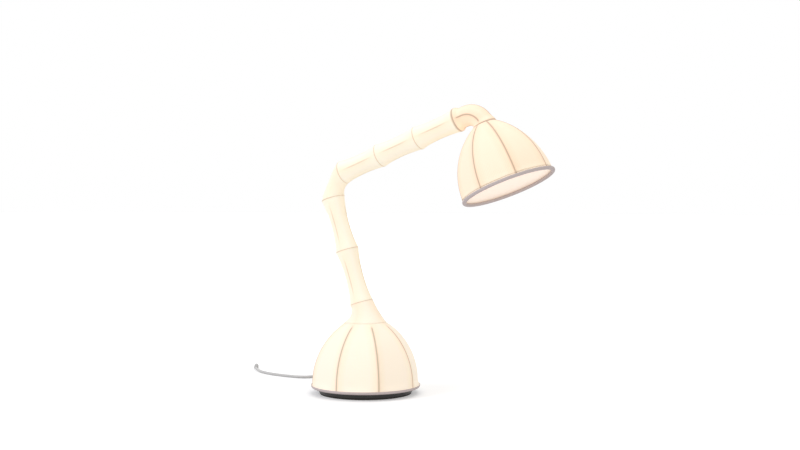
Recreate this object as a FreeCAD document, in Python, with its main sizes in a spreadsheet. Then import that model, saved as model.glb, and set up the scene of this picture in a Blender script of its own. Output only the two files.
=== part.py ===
import FreeCAD, Part
import math
import os
import re

import Sketcher
from FreeCAD import Vector

# An accordion desk lamp: a knit skin stretched over a wire frame. A domed base holds a hinged
# stem, the stem holds a hinged arm, and a bent neck with a domed shade turns on the arm's end.
# Millimetres, +Z up. The origin is the centre of the foot on the table, and the stem and the
# arm lie in the XZ plane, with the shade out along +X.

SIZES = {
    # knit skin and the wires under it
    "knit_thickness": 0.8,
    "knit_gap": 0.3,            # between the skin and the wire that it is stretched over
    "hoop_wire": 3.0,
    "rim_wire": 4.0,
    "rib_wire": 2.6,
    "rail_wire": 2.4,
    "seat_gap": 0.1,            # between a piece and its seat
    "run_gap": 0.3,             # beside a moving face
    "bore_gap": 0.05,           # round a pin or a shaft, on the radius
    # base dome
    "base_radius": 100.0,
    "base_rim_level": 12.6,     # lower edge of the skin
    "base_wall_top": 21.2,      # where the dome starts to curve in
    "base_curve": 128.4,
    "base_crown_radius": 38.4,
    # foot
    "foot_radius": 86.0,
    "pad_radius": 84.0,
    "pad_thickness": 3.0,
    "ballast_step": 9.0,        # height of the ballast under its rim plate
    "ballast_plate": 3.0,
    # neck and stem, measured from the neck hinge along the stem's own axis
    "neck_rise": 8.6,           # from the base's crown up to the neck hinge
    "neck_flare": 2.2,          # how quickly the neck's sleeve draws in, as a power
    "tube_radius": 21.9,        # outside of the skin at a hoop
    "stem_lean": 17.9,
    "neck_to_hoop": 28.0,
    "stem_bay": 100.9,
    # elbow and arm
    "elbow_bend_radius": 39.4,
    "elbow_waist": 16.5,        # outside of the elbow's sleeve, half way round
    "elbow_draw": 6.9,          # how far the sleeve's middle is drawn in from the bend there
    "sleeve_short": 0.5,        # degrees by which the elbow's sleeve stops short of the arm
    "arm_rise": 20.6,
    "arm_bay": 84.7,
    # bent head and its shade
    "head_straight": 15.3,
    "head_bend_radius": 29.3,
    "head_turn": 87.6,
    "head_flare": 9.0,          # from the head's hoop to where its skin lies on the rails
    "shade_radius": 84.4,
    "shade_curve": 136.1,
    "shade_wall": 4.5,
    "shade_rib_turn": -9.0,     # of the shade's first rib, about the shade's axis
    "diffuser_thickness": 2.0,
    # forks, tongues and pins
    "hub_thickness": 2.5,
    "tongue_thickness": 6.0,
    "ear_thickness": 3.0,
    "eye_radius": 6.5,
    "pin_radius": 2.5,
    "pin_head_radius": 5.0,
    "pin_head": 2.5,
    "shaft_radius": 5.0,
    "shaft_head_radius": 8.0,
    "shaft_head": 2.5,
    # lamps and what feeds them
    "holder_radius": 14.0,
    "holder_flange": 22.0,
    "holder_length": 34.0,
    "globe_neck": 11.0,
    "globe_neck_length": 10.0,
    "base_globe_radius": 28.0,
    "shade_globe_radius": 26.0,
    "light_tube_radius": 6.0,
    "driver_length": 46.0,
    "driver_width": 28.0,
    "driver_height": 16.0,
    "driver_corner": 3.0,
    "driver_place": 50.0,       # from the lamp's axis to the middle of the box
    # cord
    "cord_diameter": 5.5,
    "cord_lift": 0.1,           # between the cord and the table
    "cord_exit_level": 6.5,
    "cord_exit_angle": 121.0,
    "relief_radius": 4.5,
    "relief_tip": 3.3,
    "relief_length": 24.0,
    "coil_radius": 43.5,        # outer turn of the coil, on the cord's centre line
    "coil_pitch": 6.0,          # from turn to turn, and from layer to layer
    "plug_radius": 4.5,
    "plug_neck": 3.3,
    "plug_neck_length": 9.0,
    "plug_body": 21.0,
    "barrel_radius": 2.75,
    "barrel_bore": 1.25,
    "barrel_length": 9.5,
    "barrel_depth": 8.5,
}
RIBS = 8
STEM_BAYS = 2
ARM_BAYS = 3
NECK_STEPS = 4                  # from ring to ring of the neck's sleeve
ELBOW_STEPS = 4                 # of the elbow's sleeve
BEND_STEPS = 5                  # and round the head's bend
COIL_QUARTERS_IN = 14           # quarter turns of the lower layer
COIL_QUARTERS_OUT = 13          # quarter turns of the upper layer

doc = FreeCAD.newDocument("accordion_desk_lamp")
sheet = doc.addObject("Spreadsheet::Sheet", "Sizes")
for row, (alias, size) in enumerate(SIZES.items(), start=1):
    sheet.set("A%d" % row, alias)
    sheet.set("B%d" % row, str(size))
    sheet.setAlias("B%d" % row, alias)
doc.recompute()

ALIAS = re.compile(r"\b(%s)\b" % "|".join(SIZES))


def bind(formula):
    """Return a formula over size names as an expression that reads the sheet."""
    return ALIAS.sub(r"Sizes.\1", formula)


def number(formula):
    """Return what a formula over size names comes to."""
    return float(sheet.evalExpression(bind(formula)))


# ---- formulas that several pieces share ----

HOOP_RADIUS = "(tube_radius - knit_thickness - knit_gap - hoop_wire / 2)"
HOOP_OUTSIDE = "(tube_radius - knit_thickness - knit_gap)"
RAIL_RADIUS = "(%s - hoop_wire / 2 - seat_gap - rail_wire / 2)" % HOOP_RADIUS
WAIST_RADIUS = "(%s + rail_wire / 2 + knit_gap + knit_thickness)" % RAIL_RADIUS
BASE_CROWN = "(base_wall_top + base_curve * sin(acos(%s / base_curve)))" % (
    "(base_crown_radius - base_radius + base_curve)")
NECK_HINGE = "(%s + neck_rise)" % BASE_CROWN
PLATE_RADIUS = "(%s - rail_wire / 2 - seat_gap)" % RAIL_RADIUS      # of a hinge's plate
STEM_TOP = "(neck_to_hoop + %d * stem_bay)" % STEM_BAYS
ARM_LENGTH = "(%d * arm_bay)" % ARM_BAYS
ELBOW_TURN = "(90 - arm_rise + stem_lean)"
ELBOW_REACH = "(elbow_bend_radius * sin(%s / 2))" % ELBOW_TURN
ELBOW_INSET = "(elbow_bend_radius * (1 - cos(%s / 2)))" % ELBOW_TURN
HALF_PLATE = "(hub_thickness / 2)"
RAIL_END = "(hub_thickness / 2 - seat_gap)"     # how far the rails pass the middle of an end hoop
BALLAST_TOP = "(pad_thickness + ballast_step + ballast_plate)"
FORK_GAP = "(tongue_thickness + 2 * run_gap)"
FORK_WIDTH = "(%s + 2 * ear_thickness)" % FORK_GAP


def frame(x="0", y="0", z="0", axis="0; 0; 1", angle="0"):
    """Return a placement formula: a shift, after a turn about an axis."""
    return "placement(vector(%s; %s; %s); rotation(vector(%s); %s))" % (x, y, z, axis, angle)


def about_y(x, z, angle):
    return frame(x, "0", z, "0; 1; 0", angle)


STEM = about_y("0", NECK_HINGE, "-stem_lean")
ELBOW_CENTRE = "%s * %s" % (STEM, frame("elbow_bend_radius", "0", STEM_TOP))
ARM = "%s * %s * %s" % (ELBOW_CENTRE, about_y("0", "0", ELBOW_TURN), frame("-elbow_bend_radius"))
ELBOW_IN_STEM = "%s * %s" % (STEM, frame(ELBOW_INSET, "0", "%s + %s" % (STEM_TOP, ELBOW_REACH)))
ELBOW_IN_ARM = "%s * %s" % (ARM, about_y(ELBOW_INSET, "-" + ELBOW_REACH, "180"))
HEAD = "%s * %s" % (ARM, frame("0", "0", ARM_LENGTH))
HEAD_CENTRE = "%s * %s" % (HEAD, frame("head_bend_radius", "0", "head_straight"))
SHADE = "%s * %s * %s" % (HEAD_CENTRE, about_y("0", "0", "head_turn"), frame("-head_bend_radius"))


# ---- tools for making sub-parts ----

def place(piece, placement):
    piece.setExpression("Placement", bind(placement))


def new_body(name, placement=None):
    """Add an empty body, which becomes one sub-part of that name."""
    body = doc.addObject("PartDesign::Body", name)
    body.Label = name
    if placement:
        place(body, placement)
    return body


def pin_point(sketch, geometry, point, corner):
    """Hold a point of a sketch at a corner's two formulas, measured from the sketch's origin."""
    for kind, formula in (("DistanceX", corner[0]), ("DistanceY", corner[1])):
        index = sketch.addConstraint(
            Sketcher.Constraint(kind, -1, 1, geometry, point, number(formula)))
        sketch.setExpression("Constraints[%d]" % index, bind(formula))


def hold_radius(sketch, geometry, formula):
    index = sketch.addConstraint(Sketcher.Constraint("Radius", geometry, number(formula)))
    sketch.setExpression("Constraints[%d]" % index, bind(formula))


def arc_between(start, end, radius, turn):
    """Return the short arc from start to end: turn is 1 for anticlockwise, -1 for clockwise."""
    chord = end - start
    middle = (start + end) * 0.5
    left = Vector(-chord.y, chord.x, 0).normalize()
    rise = math.sqrt(max(radius ** 2 - chord.Length ** 2 / 4, 0.0))
    top = middle + left * (-turn * (radius - rise))
    return Part.Arc(start, top, end) if turn > 0 else Part.Arc(end, top, start)


def draw_outline(sketch, outline):
    """Draw a closed outline. A corner is (x, y), or (x, y, radius, turn) at the end of an arc."""
    points = [Vector(number(corner[0]), number(corner[1]), 0) for corner in outline]
    ends = []
    for index, corner in enumerate(outline):
        start, end = points[index - 1], points[index]
        if len(corner) == 2:
            geometry = sketch.addGeometry(Part.LineSegment(start, end))
            ends.append((geometry, 1, 2))
        else:
            radius, turn = corner[2], corner[3]
            geometry = sketch.addGeometry(arc_between(start, end, number(radius), turn))
            hold_radius(sketch, geometry, radius)
            ends.append((geometry, 1, 2) if turn > 0 else (geometry, 2, 1))
    for index, corner in enumerate(outline):
        geometry, _, last = ends[index]
        following, first, _ = ends[(index + 1) % len(ends)]
        sketch.addConstraint(Sketcher.Constraint("Coincident", geometry, last, following, first))
        pin_point(sketch, geometry, last, corner)


def draw_circle(sketch, x, y, radius):
    middle = Vector(number(x), number(y), 0)
    circle = Part.Circle(middle, Vector(0, 0, 1), number(radius))
    geometry = sketch.addGeometry(circle)
    pin_point(sketch, geometry, 3, (x, y))
    hold_radius(sketch, geometry, radius)


def new_sketch(body, plane, offset=None):
    """Add a sketch on one of the body's own planes, XY, XZ or YZ, or at an offset from it."""
    sketch = body.newObject("Sketcher::SketchObject", body.Name + "_sketch")
    role = plane + "_Plane"
    support = [item for item in body.Origin.OriginFeatures if item.Role == role][0]
    sketch.AttachmentSupport = (support, [""])
    sketch.MapMode = "FlatFace"
    if offset:
        sketch.setExpression("AttachmentOffset", bind(offset))
    return sketch


def pad(body, sketch, length, reverse=False, middle=False):
    feature = body.newObject("PartDesign::Pad", body.Name + "_pad")
    feature.Profile = sketch
    feature.setExpression("Length", bind(length))
    feature.Reversed = reverse
    feature.Midplane = middle
    return feature


def cut(body, sketch, length, reverse=False, middle=False):
    """Cut a pocket, and check that it took material away."""
    doc.recompute()
    before = body.Shape.Volume
    feature = body.newObject("PartDesign::Pocket", body.Name + "_cut")
    feature.Profile = sketch
    feature.setExpression("Length", bind(length))
    feature.Reversed = reverse
    feature.Midplane = middle
    doc.recompute()
    if body.Shape.Volume > before - 1.0:
        raise ValueError("the pocket in %s cuts nothing" % body.Label)
    return feature


def turn_solid(body, sketch, angle="360"):
    """Turn a sketch about its own upright axis."""
    feature = body.newObject("PartDesign::Revolution", body.Name + "_turned")
    feature.Profile = sketch
    feature.ReferenceAxis = (sketch, ["V_Axis"])
    feature.setExpression("Angle", bind(angle))
    return feature


def turned(name, placement, outline):
    """Turn an outline of (radius, height) corners about the sub-part's own Z axis."""
    body = new_body(name, placement)
    sketch = new_sketch(body, "XZ")
    draw_outline(sketch, outline)
    turn_solid(body, sketch)
    return body


def hoop(name, placement, radius, wire):
    ring = doc.addObject("Part::Torus", name)
    ring.Label = name
    ring.setExpression("Radius1", bind(radius))
    ring.setExpression("Radius2", bind("%s / 2" % wire))
    place(ring, placement)
    return ring


def bent_wire(name, placement, start, wire, turn, straight):
    """A wire that rises along Z and then bends towards +X about its body's origin.

    Its middle is at start, (x, y) with x negative, where the bend begins."""
    body = new_body(name, placement)
    sketch = new_sketch(body, "XY")
    draw_circle(sketch, start[0], start[1], "%s / 2" % wire)
    pad(body, sketch, straight, reverse=True)
    turn_solid(body, sketch, turn)
    return body


def dome(kind, placement, radius, curve, crown_radius, wall, rib_turn):
    """Build a domed cage and its skin: rim hoop, crown hoop, ribs and knit cover.

    The frame's origin is on the axis at the top of the straight wall, with +Z to the crown."""
    centre = "(%s - %s)" % (radius, curve)              # of the curve, from the axis
    crown_angle = "acos((%s - %s) / %s)" % (crown_radius, centre, curve)
    rim_depth = "(knit_thickness + knit_gap + rim_wire / 2)"
    crown_depth = "(knit_thickness + knit_gap + hoop_wire / 2)"
    rib_depth = "(knit_thickness + knit_gap + rib_wire / 2)"

    def on_curve(depth):
        reach = "(%s - %s)" % (curve, depth)
        return ("(%s + %s * cos(%s))" % (centre, reach, crown_angle),
                "(%s * sin(%s))" % (reach, crown_angle))

    rim_level = "(rim_wire / 2 - %s)" % wall
    hoop("%s_rim_hoop" % kind, "%s * %s" % (placement, frame("0", "0", rim_level)),
         "%s - %s" % (radius, rim_depth), "rim_wire")
    crown_hoop_radius, crown_hoop_level = on_curve(crown_depth)
    hoop("%s_crown_hoop" % kind, "%s * %s" % (placement, frame("0", "0", crown_hoop_level)),
         crown_hoop_radius, "hoop_wire")

    rib_bend = "(%s - %s)" % (curve, rib_depth)
    setback = "((hoop_wire / 2 + 2 * seat_gap) / %s * 180 deg / pi)" % rib_bend
    for index in range(RIBS):
        turn = "%s + 180 + %s" % (rib_turn, index * 360 / RIBS)
        facing = "%s * %s * %s" % (placement, frame(angle=turn), frame("-" + centre))
        bent_wire("%s_rib_%d" % (kind, index + 1), facing, ("-" + rib_bend, "0"), "rib_wire",
                  "%s - %s" % (crown_angle, setback), "%s - rim_wire - seat_gap" % wall)

    outer_crown = on_curve("0")
    inner_crown = on_curve("knit_thickness")
    inner_radius = "(%s - knit_thickness)" % radius
    inner_curve = "(%s - knit_thickness)" % curve
    turned("%s_cover" % kind, placement, [
        (radius, "-" + wall),
        (radius, "0"),
        outer_crown + (curve, 1),
        inner_crown,
        (inner_radius, "0", inner_curve, -1),
        (inner_radius, "-" + wall)])
    return crown_hoop_radius, crown_hoop_level


def waisted_cover(name, placement, levels):
    """A knit tube that is full at each of the levels and drawn in half way between them."""
    sag = "(tube_radius - %s)" % WAIST_RADIUS

    def bays(radius, ordered, turn):
        corners = []
        for low, high in zip(ordered[:-1], ordered[1:]):
            half = "((%s - %s) / 2)" % (max(low, high, key=number), min(low, high, key=number))
            curve = "((%s ^ 2 + %s ^ 2) / (2 * %s))" % (half, sag, sag)
            corners.append((radius, high, curve, turn))
        return corners

    inside = "(tube_radius - knit_thickness)"
    turned(name, placement, [("tube_radius", levels[0])] + bays("tube_radius", levels, -1)
           + [(inside, levels[-1])] + bays(inside, levels[::-1], 1))


def sleeve(name, rings):
    """Stretch a knit sleeve over rings, each a placement, its middle's x and its outer radius."""
    body = new_body(name)
    sections = []
    for placement, middle, girth in rings:
        ring = new_sketch(body, "XY", placement)
        draw_circle(ring, middle, "0", girth)
        draw_circle(ring, middle, "0", "%s - knit_thickness" % girth)
        sections.append(ring)
    skin = body.newObject("PartDesign::AdditiveLoft", name + "_skin")
    skin.Profile = sections[0]
    skin.Sections = sections[1:]


def rails(name, placement, low, high):
    """Four straight rails inside the hoops of one arm, as one sub-part."""
    group = doc.addObject("Part::Compound", name)
    group.Label = name
    wires = []
    for index in range(4):
        wire = doc.addObject("Part::Cylinder", "%s_%d" % (name, index + 1))
        wire.setExpression("Radius", bind("rail_wire / 2"))
        wire.setExpression("Height", bind("%s - %s" % (high, low)))
        side = frame(RAIL_RADIUS, "0", low)
        place(wire, "%s * %s" % (frame(angle=str(90 * index)), side))
        wires.append(wire)
    group.Links = wires
    place(group, placement)
    return group


def hinge_half(name, placement, plate_radius, plate_place, plate_level, width, fork):
    """A round plate with a lug that stands on it and carries the hinge.

    The frame's origin is on the hinge, its Y lies along the pin, and the plate's top is at
    -plate_level."""
    body = new_body(name, placement)
    plate = new_sketch(body, "XY", frame("0", "0", "-%s" % plate_level))
    draw_circle(plate, plate_place, "0", plate_radius)
    pad(body, plate, "hub_thickness", reverse=True)
    lug = new_sketch(body, "XZ")
    draw_outline(lug, [
        ("-eye_radius", "-%s" % plate_level),
        ("eye_radius", "-%s" % plate_level),
        ("eye_radius", "0"),
        ("0", "eye_radius", "eye_radius", 1),
        ("-eye_radius", "0", "eye_radius", 1)])
    draw_circle(lug, "0", "0", "pin_radius" if fork else "pin_radius + bore_gap")
    pad(body, lug, width, middle=True)
    if fork:
        slot = new_sketch(body, "YZ")
        draw_outline(slot, [
            ("-%s / 2" % FORK_GAP, "-%s" % plate_level),
            ("%s / 2" % FORK_GAP, "-%s" % plate_level),
            ("%s / 2" % FORK_GAP, "2 * eye_radius"),
            ("-%s / 2" % FORK_GAP, "2 * eye_radius")])
        cut(body, slot, "4 * eye_radius", middle=True)
    return body


def hinge_pin(name, placement):
    """A pin along Y with a head outside each ear of the fork."""
    body = new_body(name, placement)
    sketch = new_sketch(body, "XY")
    neck = "(%s / 2 + seat_gap)" % FORK_WIDTH
    end = "(%s + pin_head)" % neck
    shank = "(pin_radius - bore_gap)"
    draw_outline(sketch, [
        ("0", "-" + end),
        ("pin_head_radius", "-" + end),
        ("pin_head_radius", "-" + neck),
        (shank, "-" + neck),
        (shank, neck),
        ("pin_head_radius", neck),
        ("pin_head_radius", end),
        ("0", end)])
    turn_solid(body, sketch)
    return body


def light_tube(name, placement, low, high):
    tube = doc.addObject("Part::Cylinder", name)
    tube.Label = name
    tube.setExpression("Radius", bind("light_tube_radius"))
    tube.setExpression("Height", bind("%s - %s" % (high, low)))
    place(tube, "%s * %s" % (placement, frame("0", "0", low)))
    return tube


def globe(name, placement, level, radius):
    """A round lamp: a neck at the holder's end and a ball above it."""
    ball = "(%s + globe_neck_length + sqrt(%s ^ 2 - globe_neck ^ 2))" % (level, radius)
    shoulder = "(%s + globe_neck_length)" % level
    return turned(name, placement, [
        ("0", level),
        ("globe_neck", level),
        ("globe_neck", shoulder),
        (radius, ball, radius, 1),
        ("0", "%s + %s" % (ball, radius), radius, 1)])


# ---- base ----

BASE_WALL = "(base_wall_top - base_rim_level)"
base_dome = frame("0", "0", "base_wall_top")
crown_radius, crown_level = dome("base", base_dome, "base_radius", "base_curve",
                                 "base_crown_radius", BASE_WALL, "0")
RIM_INSIDE = "(base_radius - knit_thickness - knit_gap - rim_wire - seat_gap)"

turned("foot_pad", None, [
    ("0", "0"), ("pad_radius", "0"), ("pad_radius", "pad_thickness"), ("0", "pad_thickness")])
turned("ballast_disc", None, [
    ("0", "pad_thickness"),
    ("foot_radius", "pad_thickness"),
    ("foot_radius", "pad_thickness + ballast_step"),
    (RIM_INSIDE, "pad_thickness + ballast_step"),
    (RIM_INSIDE, BALLAST_TOP),
    ("0", BALLAST_TOP)])

driver = new_body("driver_box", frame("-driver_place", "0", BALLAST_TOP))
driver_outline = new_sketch(driver, "XY")
HALF_LENGTH = "(driver_width / 2)"
HALF_WIDTH = "(driver_length / 2)"
draw_outline(driver_outline, [
    (HALF_LENGTH, "-" + HALF_WIDTH), (HALF_LENGTH, HALF_WIDTH),
    ("-" + HALF_LENGTH, HALF_WIDTH), ("-" + HALF_LENGTH, "-" + HALF_WIDTH)])
driver_block = pad(driver, driver_outline, "driver_height")
doc.recompute()
upright = [index for index, edge in enumerate(driver_block.Shape.Edges, start=1)
           if abs(edge.Vertexes[0].Z - edge.Vertexes[1].Z) > number("driver_height / 2")]
rounding = driver.newObject("PartDesign::Fillet", "driver_corners")
rounding.Base = (driver_block, ["Edge%d" % index for index in upright])
rounding.setExpression("Radius", bind("driver_corner"))

HOLDER_TOP = "(%s + holder_length)" % BALLAST_TOP
turned("base_lampholder", None, [
    ("0", BALLAST_TOP),
    ("holder_flange", BALLAST_TOP),
    ("holder_flange", "%s + hub_thickness" % BALLAST_TOP),
    ("holder_radius", "%s + hub_thickness" % BALLAST_TOP),
    ("holder_radius", HOLDER_TOP),
    ("0", HOLDER_TOP)])
globe("base_globe", None, HOLDER_TOP, "base_globe_radius")

CROWN_PLATE = "(base_wall_top + %s + hub_thickness / 2)" % crown_level
CROWN_PLATE_RADIUS = "(%s - hoop_wire / 2 - seat_gap)" % crown_radius
neck_hinge = frame("0", "0", NECK_HINGE)
hinge_half("neck_fork", neck_hinge, CROWN_PLATE_RADIUS, "0",
           "(%s - %s)" % (NECK_HINGE, CROWN_PLATE), FORK_WIDTH, fork=True)
hinge_pin("neck_pin", neck_hinge)

# ---- stem ----

stem_levels = ["neck_to_hoop"] + ["(neck_to_hoop + %d * stem_bay)" % bay
                                  for bay in range(1, STEM_BAYS + 1)]
for index, level in enumerate(stem_levels, start=1):
    hoop("stem_hoop_%d" % index, "%s * %s" % (STEM, frame("0", "0", level)), HOOP_RADIUS,
         "hoop_wire")
hinge_half("stem_foot", "%s * %s" % (STEM, about_y("0", "0", "180")), PLATE_RADIUS, "0",
           "(neck_to_hoop - %s)" % HALF_PLATE, "tongue_thickness", fork=False)
rails("stem_rails", STEM, "(neck_to_hoop - %s)" % RAIL_END, "(%s + %s)" % (STEM_TOP, RAIL_END))
light_tube("stem_light_tube", STEM, "(neck_to_hoop + %s)" % HALF_PLATE,
           "(%s - %s)" % (STEM_TOP, HALF_PLATE))
waisted_cover("stem_cover", STEM, stem_levels)
hinge_half("elbow_fork", ELBOW_IN_STEM, PLATE_RADIUS, "-" + ELBOW_INSET,
           "(%s - %s)" % (ELBOW_REACH, HALF_PLATE), FORK_WIDTH, fork=True)
hinge_pin("elbow_pin", ELBOW_IN_STEM)

# ---- arm ----

hinge_half("arm_tail", ELBOW_IN_ARM, PLATE_RADIUS, ELBOW_INSET,
           "(%s - %s)" % (ELBOW_REACH, HALF_PLATE), "tongue_thickness", fork=False)
arm_levels = ["0"] + ["(%d * arm_bay)" % bay for bay in range(1, ARM_BAYS)]
for index, level in enumerate(arm_levels, start=1):
    hoop("arm_hoop_%d" % index, "%s * %s" % (ARM, frame("0", "0", level)), HOOP_RADIUS,
         "hoop_wire")
SWIVEL_FACE = "(hub_thickness / 2 + 1.5 * run_gap)"     # from the head's hoop to the arm's end
ARM_HIGH = "(%s - %s - hub_thickness)" % (ARM_LENGTH, SWIVEL_FACE)
rails("arm_rails", ARM, "(-%s)" % RAIL_END, ARM_HIGH)
light_tube("arm_light_tube", ARM, HALF_PLATE, ARM_HIGH)
waisted_cover("arm_cover", ARM, arm_levels + ["(%s - %s)" % (ARM_LENGTH, SWIVEL_FACE)])
SHAFT_NUT = "(hub_thickness / 2 + run_gap)"
turned("swivel_shaft", HEAD, [
    ("0", "-%s - hub_thickness" % SWIVEL_FACE),
    ("%s - knit_gap" % HOOP_OUTSIDE, "-%s - hub_thickness" % SWIVEL_FACE),
    ("%s - knit_gap" % HOOP_OUTSIDE, "-" + SWIVEL_FACE),
    ("shaft_radius", "-" + SWIVEL_FACE),
    ("shaft_radius", SHAFT_NUT),
    ("shaft_head_radius", SHAFT_NUT),
    ("shaft_head_radius", "%s + shaft_head" % SHAFT_NUT),
    ("0", "%s + shaft_head" % SHAFT_NUT)])

# ---- head ----

hoop("head_hoop", HEAD, HOOP_RADIUS, "hoop_wire")
HUB_RADIUS = "(%s - hoop_wire / 2 - seat_gap)" % HOOP_RADIUS
turned("swivel_hub", HEAD, [
    ("shaft_radius + bore_gap", "-hub_thickness / 2"),
    (HUB_RADIUS, "-hub_thickness / 2"),
    (HUB_RADIUS, "hub_thickness / 2"),
    ("shaft_radius + bore_gap", "hub_thickness / 2")])

BEND_INSIDE = "(%s - head_bend_radius)" % RAIL_RADIUS
BEND_OUTSIDE = "(-%s - head_bend_radius)" % RAIL_RADIUS
bend_starts = [("-head_bend_radius", "-" + RAIL_RADIUS), ("-head_bend_radius", RAIL_RADIUS),
               (BEND_OUTSIDE, "0"), (BEND_INSIDE, "0")]
bend_wires = []
for index, start in enumerate(bend_starts, start=1):
    bend_wires.append(bent_wire("bend_rail_%d" % index, None, start, "rail_wire", "head_turn",
                                "head_straight - %s" % HALF_PLATE))
bend_rails = doc.addObject("Part::Compound", "bend_rails")
bend_rails.Label = "bend_rails"
bend_rails.Links = bend_wires
place(bend_rails, HEAD_CENTRE)
bend_sections = []
for level, girth in (("-" + HALF_PLATE, "tube_radius"), ("hoop_wire / 2", "tube_radius"),
                     ("head_flare", WAIST_RADIUS)):
    bend_sections.append(("%s * %s" % (HEAD, frame("0", "0", level)), "0", girth))
for step in range(BEND_STEPS):
    round_bend = about_y("0", "0", "head_turn * %s" % (step / BEND_STEPS))
    bend_sections.append(("%s * %s" % (HEAD_CENTRE, round_bend), "-head_bend_radius",
                          WAIST_RADIUS))
bend_sections.append((SHADE, "0", "tube_radius"))
sleeve("bend_cover", bend_sections)

SHADE_CROWN_ANGLE = "acos((tube_radius - shade_radius + shade_curve) / shade_curve)"
SHADE_DEPTH = "(shade_curve * sin(%s))" % SHADE_CROWN_ANGLE
shade_dome = "%s * %s" % (SHADE, about_y("0", SHADE_DEPTH, "180"))
shade_crown_hoop, _ = dome("shade", shade_dome, "shade_radius", "shade_curve", "tube_radius",
                           "shade_wall", "shade_rib_turn")
SHADE_PLATE_RADIUS = "(%s - hoop_wire / 2 - seat_gap)" % shade_crown_hoop
turned("shade_lampholder", SHADE, [
    ("0", "seat_gap"),
    (SHADE_PLATE_RADIUS, "seat_gap"),
    (SHADE_PLATE_RADIUS, "seat_gap + hub_thickness"),
    ("holder_radius", "seat_gap + hub_thickness"),
    ("holder_radius", "holder_length"),
    ("0", "holder_length")])
globe("shade_globe", SHADE, "holder_length", "shade_globe_radius")
DIFFUSER_RADIUS = "(shade_radius - knit_thickness - knit_gap - rib_wire - seat_gap)"
DIFFUSER_LOW = "(%s + shade_wall - rim_wire - seat_gap)" % SHADE_DEPTH
turned("diffuser", SHADE, [
    ("0", "%s - diffuser_thickness" % DIFFUSER_LOW),
    (DIFFUSER_RADIUS, "%s - diffuser_thickness" % DIFFUSER_LOW),
    (DIFFUSER_RADIUS, DIFFUSER_LOW),
    ("0", DIFFUSER_LOW)])

# ---- knit sleeves round the two hinges, which stretch as the hinges turn ----

elbow_rings = []
for step in range(ELBOW_STEPS + 1):
    share = step / ELBOW_STEPS
    pinch = "sin(180 * %s)" % share
    round_elbow = about_y("0", "0", "(%s - sleeve_short) * %s" % (ELBOW_TURN, share))
    elbow_rings.append(("%s * %s" % (ELBOW_CENTRE, round_elbow),
                        "(elbow_draw * %s - elbow_bend_radius)" % pinch,
                        "(tube_radius - (tube_radius - elbow_waist) * %s)" % pinch))
sleeve("elbow_sleeve", elbow_rings)

NECK_LOW = "(neck_rise - run_gap)"
neck_rings = []
for step in range(NECK_STEPS + 1):
    share = step / NECK_STEPS
    level = "((neck_to_hoop + %s) * %s - %s)" % (NECK_LOW, share, NECK_LOW)
    tilted = "%s * %s" % (about_y("0", NECK_HINGE, "-stem_lean * %s" % share),
                          frame("0", "0", level))
    girth = "(tube_radius + (base_crown_radius - tube_radius) * (1 - %s) ^ neck_flare)" % share
    neck_rings.append((tilted, "0", girth))
sleeve("neck_sleeve", neck_rings)

# ---- cord: a relief at the foot, a lead, the spare length in a coil behind the foot, and a tail
# ---- that runs out beside the lamp to its plug

turned("strain_relief",
       "%s * %s" % (frame(angle="cord_exit_angle"),
                    about_y("foot_radius + seat_gap", "cord_exit_level", "90")),
       [("0", "0"), ("relief_radius", "0"), ("relief_tip", "relief_length"),
        ("0", "relief_length")])

cord_radius = number("cord_diameter / 2")
cord_level = number("cord_diameter / 2 + cord_lift")
exit_angle = math.radians(number("cord_exit_angle"))
away = Vector(math.cos(exit_angle), math.sin(exit_angle), 0)
up = Vector(0, 0, 1)


def leftward(heading):
    return Vector(-heading.y, heading.x, 0)


def routed(points):
    """Join the points by straight runs with tangent arcs, as large as the runs allow."""
    edges = []
    here = points[0]
    radii = []
    for before, corner, after in zip(points, points[1:], points[2:]):
        inward = corner - before
        onward = after - corner
        half_turn = inward.getAngle(onward) / 2
        reach = 0.45 * min(inward.Length, onward.Length)
        radius = reach / math.tan(half_turn)
        inward.normalize()
        onward.normalize()
        start = corner - inward * reach
        end = corner + onward * reach
        middle = corner + (onward - inward).normalize() * (radius / math.cos(half_turn) - radius)
        edges += [Part.LineSegment(here, start), Part.Arc(start, middle, end)]
        radii.append(radius)
        here = end
    edges.append(Part.LineSegment(here, points[-1]))
    print("arc radii:", " ".join("%.0f" % radius for radius in radii))
    return edges


def tube(name, edges):
    """Make a sub-part that is a round cord along the edges, and check its volume."""
    route = Part.Wire([edge.toShape() for edge in edges])
    start = route.OrderedVertexes[0].Point
    tangent = edges[0].tangent(edges[0].FirstParameter)[0]
    section = Part.Wire(Part.Circle(start, tangent, cord_radius).toShape())
    solid = route.makePipeShell([section], True, False)
    expected = math.pi * cord_radius ** 2 * route.Length
    print("%s: %.0f mm long, volume %.4f of section times length"
          % (name, route.Length, solid.Volume / expected))
    if abs(solid.Volume / expected - 1) > 0.01:
        raise ValueError("%s has the wrong volume" % name)
    piece = doc.addObject("Part::Feature", name)
    piece.Label = name
    piece.Shape = solid
    return route


def bend(here, heading, target, radius):
    """A quarter-turn arc from a heading to a target direction at right angles to it."""
    bulge = math.sqrt(0.5)
    middle = here + (heading * bulge + target * (1 - bulge)) * radius
    end = here + (heading + target) * radius
    return Part.Arc(here, middle, end), end


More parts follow.
